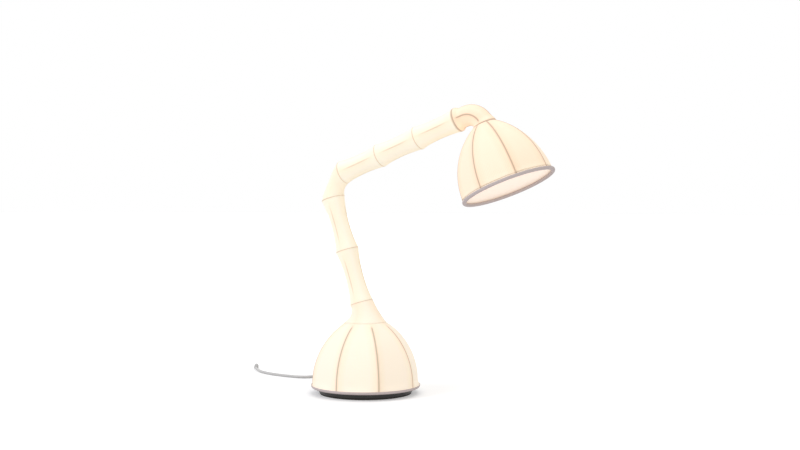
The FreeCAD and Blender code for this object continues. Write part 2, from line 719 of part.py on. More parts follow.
def coil_edges(start, heading):
    """Spiral in on the table, climb one layer in half a turn, and spiral out again on top."""
    pitch = number("coil_pitch")
    outer = number("coil_radius")
    stub = number("cord_diameter")
    inward = [outer - pitch / 4 * quarter for quarter in range(COIL_QUARTERS_IN + 1)]
    outward = inward[-2:-2 - COIL_QUARTERS_OUT:-1]
    here = start + heading * stub
    edges = [Part.LineSegment(start, here)]
    for radius in inward[:-1]:
        target = leftward(heading)
        arc, here = bend(here, heading, target, radius)
        edges.append(arc)
        heading = target
    climb_radius = math.hypot(inward[-1], pitch / 2)
    slope = math.atan2(pitch / 2, inward[-1])
    rising = leftward(heading) * math.cos(slope) + up * math.sin(slope)
    for direction, target in ((heading, rising), (rising, heading * -1)):
        arc, here = bend(here, direction, target, climb_radius)
        edges.append(arc)
    heading = heading * -1
    for radius in outward:
        target = leftward(heading)
        arc, here = bend(here, heading, target, radius)
        edges.append(arc)
        heading = target
    edges.append(Part.LineSegment(here, here + heading * stub))
    return edges, here + heading * stub, heading


def least_gap(route, near=4.0):
    """Return the least gap between stretches of a cord that lie apart along it."""
    step = 2.0
    points = route.discretize(Distance=step)
    skip = int(near * 2 * cord_radius / step)
    least = min((points[i] - points[j]).Length
                for i in range(len(points)) for j in range(i + skip, len(points)))
    return least - 2 * cord_radius


LEAD_STEPS = [(0.0, "cord_exit_level"), (12.0, "cord_exit_level"),
              (26.0, "cord_diameter / 2 + cord_lift"), (38.0, "cord_diameter / 2 + cord_lift")]
exit_reach = number("foot_radius + seat_gap + relief_length")
lead_points = [away * (exit_reach + distance) + up * number(level)
               for distance, level in LEAD_STEPS]
tube("cord_lead", routed(lead_points))

coil_path, coil_end, coil_heading = coil_edges(lead_points[-1], away)
coil_route = tube("cord_coil", coil_path)
print("coil: least gap to itself %.2f mm" % least_gap(coil_route))

# the tail: one run straight on from the coil, and then points given as x, y and how far the
# cord's middle is above its level on the table
TAIL_START = 20.5
TAIL = [(-175.5, 114.0, 2.1), (-191.0, 97.5, 0.0), (-211.0, 88.0, 0.0),
        (-234.0, 88.8, 0.0), (-259.0, 91.3, 0.0), (-287.0, 97.5, 0.0), (-308.0, 105.5, 0.0),
        (-330.0, 118.0, 0.3), (-350.0, 135.0, 1.7), (-357.5, 145.5, 1.7)]
tail_points = [coil_end, coil_end + coil_heading * TAIL_START]
tail_points += [Vector(x, y, cord_level + height) for x, y, height in TAIL]
tube("cord_tail", routed(tail_points))

plug = turned("power_plug", None, [
    ("0", "0"),
    ("plug_neck", "0"),
    ("plug_radius", "plug_neck_length"),
    ("plug_radius", "plug_neck_length + plug_body"),
    ("barrel_radius", "plug_neck_length + plug_body"),
    ("barrel_radius", "plug_neck_length + plug_body + barrel_length"),
    ("barrel_bore", "plug_neck_length + plug_body + barrel_length"),
    ("barrel_bore", "plug_neck_length + plug_body + barrel_length - barrel_depth"),
    ("0", "plug_neck_length + plug_body + barrel_length - barrel_depth")])
plug_way = tail_points[-1] - tail_points[-2]
plug.Placement = FreeCAD.Placement(tail_points[-1], FreeCAD.Rotation(up, plug_way))

# ---- check every object, then write the sub-parts ----

doc.recompute()
for item in doc.Objects:
    if "Invalid" in item.State or "Error" in item.State:
        raise ValueError("%s did not build" % item.Label)

members = [wire for item in doc.Objects if item.TypeId == "Part::Compound" for wire in item.Links]
KINDS = ("PartDesign::Body", "Part::Torus", "Part::Cylinder", "Part::Compound", "Part::Feature")
sub_parts = [item for item in doc.Objects if item.TypeId in KINDS and item not in members]
for item in sub_parts:
    if item.Shape.isNull() or not item.Shape.isValid() or item.Shape.Volume < 1.0:
        raise ValueError("%s is not a valid solid" % item.Label)

os.makedirs("parts", exist_ok=True)
for item in sub_parts:
    item.Shape.exportStep("parts/%s.step" % item.Label)
print("sub-parts:", len(sub_parts))
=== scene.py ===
import math

import bpy
from mathutils import Matrix, Vector


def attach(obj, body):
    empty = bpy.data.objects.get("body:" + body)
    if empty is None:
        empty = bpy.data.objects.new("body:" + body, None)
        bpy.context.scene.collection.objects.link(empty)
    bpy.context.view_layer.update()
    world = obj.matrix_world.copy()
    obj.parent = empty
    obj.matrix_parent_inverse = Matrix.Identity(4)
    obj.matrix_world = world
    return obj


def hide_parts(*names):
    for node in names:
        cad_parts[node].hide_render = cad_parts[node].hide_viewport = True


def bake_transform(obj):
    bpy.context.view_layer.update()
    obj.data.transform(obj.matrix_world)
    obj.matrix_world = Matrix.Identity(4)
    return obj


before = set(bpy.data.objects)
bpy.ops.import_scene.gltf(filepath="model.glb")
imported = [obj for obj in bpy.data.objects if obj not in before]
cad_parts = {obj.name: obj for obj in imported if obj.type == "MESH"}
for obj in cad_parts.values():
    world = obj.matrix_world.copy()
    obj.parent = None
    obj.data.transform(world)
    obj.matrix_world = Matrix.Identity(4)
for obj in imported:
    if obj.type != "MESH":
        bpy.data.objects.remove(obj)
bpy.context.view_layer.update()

# ---- the view ----
# The lamp stands on a pale table top that runs on into a white backdrop, under three broad soft
# lamps and an even sky. The camera is where the photograph was taken from, in metres.

CAMERA_PLACE = (1.1454, -1.8783, .3501)
CAMERA_HEADING = 29.722             # degrees, of the line of sight from +Y towards -X
CAMERA_DROP = 1.058                 # and below the horizontal
CAMERA_LENS = 53.77
CAMERA_SENSOR = 36.0

camera_data = bpy.data.cameras.new("camera")
camera_data.lens = CAMERA_LENS
camera_data.sensor_width = CAMERA_SENSOR
camera = bpy.data.objects.new("camera", camera_data)
camera.location = CAMERA_PLACE
camera.rotation_euler = (math.radians(90 - CAMERA_DROP), 0, math.radians(CAMERA_HEADING))
bpy.context.scene.collection.objects.link(camera)
bpy.context.scene.camera = camera
bpy.context.scene.view_settings.view_transform = "Standard"


def linear(code):
    """Turn an sRGB hex value such as #c08040 into the linear colour that a shader takes."""
    parts = [int(code[start:start + 2], 16) / 255 for start in (1, 3, 5)]
    return tuple(part / 12.92 if part <= .04045 else ((part + .055) / 1.055) ** 2.4
                 for part in parts) + (1.0,)


def add(tree, kind, sockets=(), **options):
    """Add a node. sockets maps an input to a number, a colour or another node's output."""
    node = tree.nodes.new(kind)
    for name, value in options.items():
        setattr(node, name, value)
    for name, value in dict(sockets).items():
        if isinstance(value, bpy.types.NodeSocket):
            tree.links.new(value, node.inputs[name])
        else:
            node.inputs[name].default_value = value
    return node


SKY_LIGHT = .50                     # what the even sky gives to the lamp
sky = bpy.data.worlds.new("even_sky")
sky.use_nodes = True
bpy.context.scene.world = sky
sky_tree = sky.node_tree
sky_tree.nodes.clear()
ray = add(sky_tree, "ShaderNodeLightPath")
seen = add(sky_tree, "ShaderNodeMath", {0: ray.outputs["Is Camera Ray"],
                                        1: ray.outputs["Is Glossy Ray"]}, operation="MAXIMUM")
seen = add(sky_tree, "ShaderNodeMath", {0: seen.outputs[0],
                                        1: ray.outputs["Is Transmission Ray"]}, operation="MAXIMUM")
level = add(sky_tree, "ShaderNodeMapRange", {"Value": seen.outputs[0], "To Min": SKY_LIGHT,
                                             "To Max": 1.0})
backdrop = add(sky_tree, "ShaderNodeBackground", {"Color": linear("#ffffff"),
                                                  "Strength": level.outputs["Result"]})
add(sky_tree, "ShaderNodeOutputWorld", {"Surface": backdrop.outputs[0]})

LAMPS = [                           # place in metres, size in metres, power in watts, colour
    ("key_lamp", (-1.5, -2.0, 1.9), 1.6, 34, "#f6f6ff"),
    ("fill_lamp", (2.2, -1.2, 1.4), 1.8, 14, "#fff6ea"),
    ("top_lamp", (.1, .6, 2.4), 1.8, 14, "#ffffff"),
]
LAMP_AIM = Vector((.05, 0, .25))
for name, place, size, power, tone in LAMPS:
    lamp_data = bpy.data.lights.new(name, "AREA")
    lamp_data.shape = "DISK"
    lamp_data.size = size
    lamp_data.energy = power
    lamp_data.color = linear(tone)[:3]
    lamp = bpy.data.objects.new(name, lamp_data)
    lamp.location = place
    lamp.rotation_euler = (LAMP_AIM - Vector(place)).to_track_quat("-Z", "Y").to_euler()
    bpy.context.scene.collection.objects.link(lamp)

TABLE_HALF = 30.0
table_mesh = bpy.data.meshes.new("table_top")
table_mesh.from_pydata([(-TABLE_HALF, -TABLE_HALF, 0), (TABLE_HALF, -TABLE_HALF, 0),
                        (TABLE_HALF, TABLE_HALF, 0), (-TABLE_HALF, TABLE_HALF, 0)],
                       [], [(0, 1, 2, 3)])
table_top = bpy.data.objects.new("table_top", table_mesh)
bpy.context.scene.collection.objects.link(table_top)

# White laminate: matt, and to the camera it melts into the backdrop away from the lamp, while the
# soft shadow near the foot stays.
laminate = bpy.data.materials.new("white_laminate")
laminate.use_nodes = True
tree = laminate.node_tree
shader = tree.nodes["Principled BSDF"]
shader.inputs["Base Color"].default_value = linear("#e6e6e6")
shader.inputs["Roughness"].default_value = .7
shader.inputs["Specular IOR Level"].default_value = .2
BRIGHTENS_FROM = .25                # metres from the lamp
BRIGHTENS_TO = 1.1
NEAR_GLOW = .32
place = add(tree, "ShaderNodeNewGeometry")
reach = add(tree, "ShaderNodeVectorMath", {0: place.outputs["Position"]}, operation="LENGTH")
glow = add(tree, "ShaderNodeMapRange", {"Value": reach.outputs["Value"],
                                        "From Min": BRIGHTENS_FROM, "From Max": BRIGHTENS_TO,
                                        "To Min": NEAR_GLOW, "To Max": 1.0})
ray = add(tree, "ShaderNodeLightPath")
seen = add(tree, "ShaderNodeMath", {0: ray.outputs["Is Camera Ray"],
                                    1: ray.outputs["Is Glossy Ray"]}, operation="MAXIMUM")
seen = add(tree, "ShaderNodeMath", {0: seen.outputs[0],
                                    1: ray.outputs["Is Transmission Ray"]}, operation="MAXIMUM")
seen = add(tree, "ShaderNodeMath", {0: seen.outputs[0], 1: glow.outputs["Result"]},
           operation="MULTIPLY")
shader.inputs["Emission Color"].default_value = linear("#ffffff")
tree.links.new(seen.outputs[0], shader.inputs["Emission Strength"])
table_mesh.materials.append(laminate)

# ---- cord, plug and strain relief ----
# A low-voltage lead with a round PVC jacket. It leaves the foot through a moulded relief, lies in
# a neat coil behind it, and runs out beside the lamp to a moulded barrel plug.

MM = .001
CORD_DIAMETER = 5.5
CORD_LEVEL = 2.85                   # of its middle, where it lies on the table
EXIT_ANGLE = math.radians(121.0)
EXIT_REACH = 110.1                  # from the lamp's axis to the end of the relief
LEAD_STEPS = [(0, 6.5), (12, 6.5), (26, CORD_LEVEL), (38, CORD_LEVEL)]
COIL_RADIUS = 43.5
COIL_PITCH = 6.0
QUARTERS_IN = 14
QUARTERS_OUT = 13
QUARTER_POINTS = 4                  # points of the cord's line in a quarter turn of the coil
TAIL_START = 20.5
TAIL = [(-175.5, 114.0, 2.1), (-191.0, 97.5, 0.0), (-211.0, 88.0, 0.0),
        (-234.0, 88.8, 0.0), (-259.0, 91.3, 0.0), (-287.0, 97.5, 0.0), (-308.0, 105.5, 0.0),
        (-330.0, 118.0, 0.3), (-350.0, 135.0, 1.7), (-357.5, 145.5, 1.7)]

away = Vector((math.cos(EXIT_ANGLE), math.sin(EXIT_ANGLE), 0))
up = Vector((0, 0, 1))
cord_line = [away * (EXIT_REACH + step) + up * height for step, height in LEAD_STEPS]


def lay_quarter(here, heading, target, radius):
    """Add a quarter turn from one heading to another to the cord's line, and return its end."""
    step = math.pi / 2 / QUARTER_POINTS
    centre = here + target * radius
    for index in range(QUARTER_POINTS):
        turn = (index + .5) * step
        outward = heading * math.sin(turn) - target * math.cos(turn)
        cord_line.append(centre + outward * (radius / math.cos(step / 2)))
    return here + (heading + target) * radius


heading = away
here = cord_line[-1] + heading * CORD_DIAMETER
cord_line.append(here.copy())
turn_radii = [COIL_RADIUS - COIL_PITCH / 4 * quarter for quarter in range(QUARTERS_IN + 1)]
for radius in turn_radii[:-1]:
    left = up.cross(heading)
    here = lay_quarter(here, heading, left, radius)
    heading = left
climb = up.cross(heading) * turn_radii[-1] + up * (COIL_PITCH / 2)
rising = climb.normalized()
here = lay_quarter(here, heading, rising, climb.length)
here = lay_quarter(here, rising, -heading, climb.length)
heading = -heading
for radius in turn_radii[-2:-2 - QUARTERS_OUT:-1]:
    left = up.cross(heading)
    here = lay_quarter(here, heading, left, radius)
    heading = left
here = here + heading * CORD_DIAMETER
cord_line += [here, here + heading * TAIL_START]
cord_line += [Vector((x, y, CORD_LEVEL + height)) for x, y, height in TAIL]

cord_curve = bpy.data.curves.new("cord", "CURVE")
cord_curve.dimensions = "3D"
spline = cord_curve.splines.new("NURBS")
spline.points.add(len(cord_line) - 1)
for point, place in zip(spline.points, cord_line):
    point.co = (*(place * MM), 1.0)
spline.order_u = 3
spline.use_endpoint_u = True
spline.resolution_u = 8
cord_curve.bevel_depth = CORD_DIAMETER / 2 * MM
cord_curve.bevel_resolution = 5
cord_curve.use_fill_caps = True
cord = bpy.data.objects.new("cord", cord_curve)
bpy.context.scene.collection.objects.link(cord)


def new_material(name, colour, roughness, **settings):
    """Start a material: its colour and roughness, and other shader inputs by their names."""
    material = bpy.data.materials.new(name)
    material.use_nodes = True
    shader = material.node_tree.nodes["Principled BSDF"]
    shader.inputs["Base Color"].default_value = linear(colour)
    shader.inputs["Roughness"].default_value = roughness
    for words, value in settings.items():
        shader.inputs[words.replace("_", " ")].default_value = value
    return material, material.node_tree, shader


# Soft PVC, extruded: an even light grey with a low satin gloss and a faint drag from the die.
cord_jacket, tree, shader = new_material("satin_pvc_jacket", "#c9c8c6", .48, IOR=1.53)
where = add(tree, "ShaderNodeTexCoord")
mottle = add(tree, "ShaderNodeTexNoise", {"Vector": where.outputs["Object"], "Scale": 140.0,
                                          "Detail": 3.0})
tint = add(tree, "ShaderNodeMix", {"Factor": mottle.outputs["Fac"], 6: linear("#bfbebd"),
                                   7: linear("#d3d2cf")}, data_type="RGBA")
tree.links.new(tint.outputs[2], shader.inputs["Base Color"])
GRAIN = .6                          # millimetres; the real orange peel of a jacket is near .3
grain = add(tree, "ShaderNodeTexNoise", {"Vector": where.outputs["Object"],
                                         "Scale": 1 / (GRAIN * MM), "Detail": 2.0})
bump = add(tree, "ShaderNodeBump", {"Height": grain.outputs["Fac"], "Strength": .12,
                                    "Distance": .0002})
tree.links.new(bump.outputs["Normal"], shader.inputs["Normal"])
cord_curve.materials.append(cord_jacket)


CORNER_STEPS = 5


def eased(corners):
    """Ease an outline's corners: each is (x, y) or (x, y, inset).

    The inset places an arc's middle. The arc itself is always 1 mm in radius, because slerp gives
    a unit vector, so a corner with a smaller inset stands proud."""
    points = []
    for index, corner in enumerate(corners):
        here = Vector(corner[:2])
        if len(corner) == 2 or index in (0, len(corners) - 1):
            points.append(here)
            continue
        before = (Vector(corners[index - 1][:2]) - here).normalized()
        after = (Vector(corners[index + 1][:2]) - here).normalized()
        half = before.angle(after) / 2
        centre = here + (before + after).normalized() * (corner[2] / math.sin(half))
        start = here + before * (corner[2] / math.tan(half)) - centre
        end = here + after * (corner[2] / math.tan(half)) - centre
        for step in range(CORNER_STEPS + 1):
            share = step / CORNER_STEPS
            points.append(centre + start.slerp(end, share, start))
    return points


def turned(name, outline, to_place=None, sides=96, girth=None):
    """Turn an outline of (radius, height) about its own Z axis, and move it to its place.

    girth(angle, radius, height) may give the radius another value, for flutes and ribs."""
    points, rows = [], []
    for radius, height in outline:
        if radius < .001:
            points.append(Vector((0, 0, height)))
            rows.append([len(points) - 1] * sides)
            continue
        rows.append(list(range(len(points), len(points) + sides)))
        for side in range(sides):
            angle = 2 * math.pi * side / sides
            r = girth(angle, radius, height) if girth else radius
            points.append(Vector((r * math.cos(angle), r * math.sin(angle), height)))
    faces = []
    for low, high in zip(rows, rows[1:]):
        for side in range(sides):
            following = (side + 1) % sides
            corners = (low[side], low[following], high[following], high[side])
            faces.append([corner for index, corner in enumerate(corners)
                          if corner != corners[index - 1]])
    mesh = bpy.data.meshes.new(name)
    mesh.from_pydata([point * MM for point in points], [], faces)
    mesh.transform(to_place or Matrix())
    mesh.validate()
    for polygon in mesh.polygons:
        polygon.use_smooth = True
    piece = bpy.data.objects.new(name, mesh)
    bpy.context.scene.collection.objects.link(piece)
    return piece


def standing(at, direction):
    """Return the move that puts an outline's Z axis along direction, from a point in mm."""
    turn = direction.to_track_quat("Z", "X").to_matrix().to_4x4()
    return Matrix.Translation(Vector(at) * MM) @ turn


RELIEF_LENGTH = 24.0
RELIEF_RADIUS = 4.5
RELIEF_TIP = 3.3
RELIEF_RIBS = 6
relief_outline = [(0, 0), (RELIEF_RADIUS, 0)]
rib_pitch = RELIEF_LENGTH / (RELIEF_RIBS + 1)
for rib in range(RELIEF_RIBS):
    for share, waist in ((.12, 0), (.5, 0), (.58, .55), (.92, .55)):
        height = (rib + .45 + share) * rib_pitch
        taper = RELIEF_RADIUS + (RELIEF_TIP - RELIEF_RADIUS) * height / RELIEF_LENGTH
        relief_outline.append((taper - waist, height, .16))
relief_outline += [(RELIEF_TIP, RELIEF_LENGTH - 1, .2), (RELIEF_TIP, RELIEF_LENGTH, .4),
                   (0, RELIEF_LENGTH)]
foot_edge = away * (EXIT_REACH - RELIEF_LENGTH) + up * LEAD_STEPS[0][1]
relief = turned("strain_relief_moulded", eased(relief_outline), standing(foot_edge, away), 48)

PLUG_PARTS = [(0, 0), (3.3, 0, .3), (3.5, 2.2, .3), (3.1, 2.9, .3), (3.1, 3.7, .3), (3.7, 4.3, .3),
              (3.9, 6.2, .3), (3.4, 6.9, .3), (3.4, 7.7, .3), (4.5, 9.6, .8), (4.5, 29, .9),
              (3.6, 30, .2), (0, 30)]
GRIP_LOW, GRIP_HIGH = 12.0, 26.0
GRIP_FLUTES = 16
GRIP_DEPTH = .28


def fluted(angle, radius, height):
    """Sink shallow flutes into the plug's grip."""
    inside = min(height - GRIP_LOW, GRIP_HIGH - height)
    depth = GRIP_DEPTH * min(max(inside / 1.5, 0), 1)
    return radius - depth * (.5 - .5 * math.cos(GRIP_FLUTES * angle))


plug_outline = eased(PLUG_PARTS)
grip_rows = [Vector((4.5, GRIP_LOW + step)) for step in range(int(GRIP_HIGH - GRIP_LOW) + 1)]
split = max(index for index, point in enumerate(plug_outline) if point.y < GRIP_LOW)
plug_outline = plug_outline[:split + 1] + grip_rows + plug_outline[split + 1:]
plug_end = cord_line[-1]
plug_way = (cord_line[-1] - cord_line[-2]).normalized()
plug = turned("plug_overmould", plug_outline, standing(plug_end, plug_way), 96, fluted)
BARREL = [(0, 29), (2.75, 29), (2.75, 39.2, .3), (2.1, 39.5, .1), (2.05, 33), (0, 33)]
barrel = turned("plug_barrel", eased(BARREL), standing(plug_end, plug_way), 48)
INSULATOR = [(0, 31.2), (2.04, 31.2), (2.04, 38.4, .2), (1.25, 38.4, .2), (1.25, 31.6), (0, 31.6)]
insulator = turned("plug_insulator", eased(INSULATOR), standing(plug_end, plug_way), 40)

# The same PVC, moulded: a little darker and glossier than the jacket, with a mould's fine texture.
moulded_pvc, tree, shader = new_material("moulded_pvc", "#b9b8b6", .42, IOR=1.53)
where = add(tree, "ShaderNodeTexCoord")
mottle = add(tree, "ShaderNodeTexNoise", {"Vector": where.outputs["Object"], "Scale": 220.0,
                                          "Detail": 3.0})
tint = add(tree, "ShaderNodeMix", {"Factor": mottle.outputs["Fac"], 6: linear("#afaeac"),
                                   7: linear("#c3c2c0")}, data_type="RGBA")
tree.links.new(tint.outputs[2], shader.inputs["Base Color"])
bump = add(tree, "ShaderNodeBump", {"Height": mottle.outputs["Fac"], "Strength": .1,
                                    "Distance": .0002})
tree.links.new(bump.outputs["Normal"], shader.inputs["Normal"])

# Nickel plate on turned brass: pale yellowish grey, bright, with fine turning marks round it.
nickel, tree, shader = new_material("nickel_plate", "#cfcabd", .24, Metallic=1.0)
where = add(tree, "ShaderNodeTexCoord")
marks = add(tree, "ShaderNodeTexNoise", {"Vector": where.outputs["Object"], "Scale": 900.0,
                                         "Detail": 1.0})
rough = add(tree, "ShaderNodeMapRange", {"Value": marks.outputs["Fac"], "To Min": .18,
                                         "To Max": .32})
tree.links.new(rough.outputs["Result"], shader.inputs["Roughness"])

# Black nylon, moulded: near black, half matt, it sits in the barrel's mouth.
nylon, tree, shader = new_material("black_nylon", "#1b1b1c", .5, IOR=1.53)
speck = add(tree, "ShaderNodeTexNoise", {"Scale": 1200.0})
bump = add(tree, "ShaderNodeBump", {"Height": speck.outputs["Fac"], "Strength": .1,
                                    "Distance": .0001})
tree.links.new(bump.outputs["Normal"], shader.inputs["Normal"])

for piece, material in ((relief, moulded_pvc), (plug, moulded_pvc), (barrel, nickel),
                        (insulator, nylon)):
    piece.data.materials.append(material)
for piece in (cord, relief, plug, barrel, insulator):
    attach(piece, "base")
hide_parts("cord_lead", "cord_coil", "cord_tail")
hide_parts("strain_relief")
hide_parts("power_plug")

# ---- foot ----
# A heavy steel disc, turned, with a thinner rim plate on top that the base's rim hoop rests round,
# powder-coated black. A ribbed rubber pad glued under it stands on the table.

PAD_RADIUS = 84.0
PAD_TOP = 3.0
PAD_GROOVES = 7
pad_outline = [(0, .6)]
for groove in range(PAD_GROOVES):
    inner = (groove + .5) * PAD_RADIUS / (PAD_GROOVES + 1)
    pad_outline += [(inner, .6, .3), (inner + .8, 0, .3), (inner + 6.4, 0, .3),
                    (inner + 7.2, .6, .3)]
pad_outline += [(PAD_RADIUS - 4, .6, .2), (PAD_RADIUS - 3.4, 0, .2), (PAD_RADIUS, 0, .6),
                (PAD_RADIUS, PAD_TOP, .3), (0, PAD_TOP)]
foot_pad = turned("rubber_foot_pad", eased(pad_outline), None, 128)

# Black rubber, pressed: a deep warm black, dull, with a fine grain that greys where light grazes.
rubber, tree, shader = new_material("black_rubber", "#242322", .78, IOR=1.52)
where = add(tree, "ShaderNodeTexCoord")
dust = add(tree, "ShaderNodeTexNoise", {"Vector": where.outputs["Object"], "Scale": 60.0,
                                        "Detail": 4.0})
tint = add(tree, "ShaderNodeMix", {"Factor": dust.outputs["Fac"], 6: linear("#1e1d1c"),
                                   7: linear("#34322f")}, data_type="RGBA")
tree.links.new(tint.outputs[2], shader.inputs["Base Color"])
bump = add(tree, "ShaderNodeBump", {"Height": dust.outputs["Fac"], "Strength": .2,
                                    "Distance": .0003})
tree.links.new(bump.outputs["Normal"], shader.inputs["Normal"])
foot_pad.data.materials.append(rubber)
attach(foot_pad, "base")
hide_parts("foot_pad")

FOOT_RADIUS = 86.0
FOOT_STEP = 12.0                    # underside of the rim plate
FOOT_TOP = 15.0
RIM_PLATE_RADIUS = 94.8
foot_disc = turned("steel_foot", eased([
    (0, PAD_TOP), (FOOT_RADIUS, PAD_TOP, 1.0), (FOOT_RADIUS, FOOT_STEP, .5),
    (RIM_PLATE_RADIUS, FOOT_STEP, .8), (RIM_PLATE_RADIUS, FOOT_TOP, .4), (0, FOOT_TOP)]), None, 160)

# Powder coat on steel, black: even and half matt, with the slight orange peel of baked powder.
black_coat, tree, shader = new_material("black_powder_coat", "#2a2827", .42)
where = add(tree, "ShaderNodeTexCoord")
PEEL = 2.5                          # millimetres; real orange peel is about 1
peel = add(tree, "ShaderNodeTexNoise", {"Vector": where.outputs["Object"],
                                        "Scale": 1 / (PEEL * MM), "Detail": 1.0})
tint = add(tree, "ShaderNodeMix", {"Factor": peel.outputs["Fac"], 6: linear("#262423"),
                                   7: linear("#302e2c")}, data_type="RGBA")
tree.links.new(tint.outputs[2], shader.inputs["Base Color"])
bump = add(tree, "ShaderNodeBump", {"Height": peel.outputs["Fac"], "Strength": .15,
                                    "Distance": .0003})
tree.links.new(bump.outputs["Normal"], shader.inputs["Normal"])
foot_disc.data.materials.append(black_coat)
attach(foot_disc, "base")
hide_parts("ballast_disc")

# ---- wire frame ----
# Hoops, ribs and rails of steel wire, bent, welded and powder-coated taupe. They carry the skin,
# and their shadows in the light from inside are painted on it as soft dark lines.

# Powder coat on steel, taupe: half matt, with baked powder's fine orange peel.
taupe_coat, tree, shader = new_material("taupe_powder_coat", "#8d8174", .45)
where = add(tree, "ShaderNodeTexCoord")
peel = add(tree, "ShaderNodeTexNoise", {"Vector": where.outputs["Object"],
                                        "Scale": 1 / (PEEL * MM), "Detail": 2.0})
tint = add(tree, "ShaderNodeMix", {"Factor": peel.outputs["Fac"], 6: linear("#857a6d"),
                                   7: linear("#96897b")}, data_type="RGBA")
tree.links.new(tint.outputs[2], shader.inputs["Base Color"])
bump = add(tree, "ShaderNodeBump", {"Height": peel.outputs["Fac"], "Strength": .15,
                                    "Distance": .0003})
tree.links.new(bump.outputs["Normal"], shader.inputs["Normal"])


def refinish(material, *words):
    """Give a finish to every construction piece whose name holds one of the words."""
    for name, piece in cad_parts.items():
        if any(word in name for word in words):
            piece.data.materials.clear()
            piece.data.materials.append(material)


refinish(taupe_coat, "hoop", "_rib_", "rails")

# ---- hinges and swivel ----
# Forks, tongues and their round plates are cast aluminium, tumbled; the pins and the swivel's
# shaft are turned steel, headed over at both ends.

# Cast aluminium, tumbled: a dull light grey metal, mottled, with a soft grain.
cast_metal, tree, shader = new_material("tumbled_cast_aluminium", "#b4b4b2", .45, Metallic=1.0)
where = add(tree, "ShaderNodeTexCoord")
grain = add(tree, "ShaderNodeTexNoise", {"Vector": where.outputs["Object"], "Scale": 500.0,
                                         "Detail": 3.0})
rough = add(tree, "ShaderNodeMapRange", {"Value": grain.outputs["Fac"], "To Min": .36,
                                         "To Max": .56})
tree.links.new(rough.outputs["Result"], shader.inputs["Roughness"])
bump = add(tree, "ShaderNodeBump", {"Height": grain.outputs["Fac"], "Strength": .2,
                                    "Distance": .0002})
tree.links.new(bump.outputs["Normal"], shader.inputs["Normal"])

# Turned steel, oiled: a darker, brighter metal with rings from the tool.
turned_steel, tree, shader = new_material("turned_steel", "#8f8e8c", .28, Metallic=1.0)
where = add(tree, "ShaderNodeTexCoord")
grain = add(tree, "ShaderNodeTexNoise", {"Vector": where.outputs["Object"], "Scale": 900.0})
rough = add(tree, "ShaderNodeMapRange", {"Value": grain.outputs["Fac"], "To Min": .2,
                                         "To Max": .38})
tree.links.new(rough.outputs["Result"], shader.inputs["Roughness"])

refinish(cast_metal, "_fork", "stem_foot", "arm_tail", "swivel_hub")
refinish(turned_steel, "_pin", "swivel_shaft")

# ---- light sources ----
# LED globes on moulded lampholders in the base and the shade, LED tubes in the stem and the arm,
# and a small driver box beside the base's holder.

# Opal acrylic, blown or extruded: milky white, satin, with a little light of its own.
opal, tree, shader = new_material("opal_acrylic", "#f4efe6", .3, IOR=1.49)
shader.inputs["Emission Color"].default_value = linear("#fff0d8")
shader.inputs["Emission Strength"].default_value = .4
cloud = add(tree, "ShaderNodeTexNoise", {"Scale": 40.0})
tint = add(tree, "ShaderNodeMix", {"Factor": cloud.outputs["Fac"], 6: linear("#f1ebe0"),
                                   7: linear("#f7f3ec")}, data_type="RGBA")
tree.links.new(tint.outputs[2], shader.inputs["Base Color"])

# PBT, moulded: warm white, half matt, faintly grained.
pbt, tree, shader = new_material("moulded_pbt", "#dedad2", .5, IOR=1.57)
where = add(tree, "ShaderNodeTexCoord")
grain = add(tree, "ShaderNodeTexNoise", {"Vector": where.outputs["Object"], "Scale": 800.0})
bump = add(tree, "ShaderNodeBump", {"Height": grain.outputs["Fac"], "Strength": .15,
                                    "Distance": .0002})
tree.links.new(bump.outputs["Normal"], shader.inputs["Normal"])

refinish(opal, "_globe", "light_tube")
refinish(pbt, "lampholder", "driver_box")

# ---- base cover ----
# A warm white knit, shaped like a bell and drawn tight over the ribs, so that it lies almost flat
# between two of them. Its lower edge is bound and rolled round the rim hoop.

KNIT = .8                           # thickness
RIBS = 8
WALE = 3.0                          # from wale to wale; the real knit's is near 1.3
COURSE = 2.6                        # from course to course; the real knit's is near 1.1
CREASE = (0, 1.2, 3.0)              # millimetres from a wire to the first lines of the mesh
PANEL_LINES = 8                     # more lines of the mesh across a panel
# the reach of the painted shade around a wire
WIRE_SHADE_REACH = 16.0                   # from a wire, to where the knit is palest
LOOSE = 1.2                         # slack over which a lengthwise wire's line fades
NO_WIRE = 9.0                       # slack where no lengthwise wire lies under the skin
LEG_SLANT = .9                      # of a stitch's legs, against the wale
LEG_RELIEF = .3                     # of the legs, against the valley between two wales
VALLEY_SHADE = .94


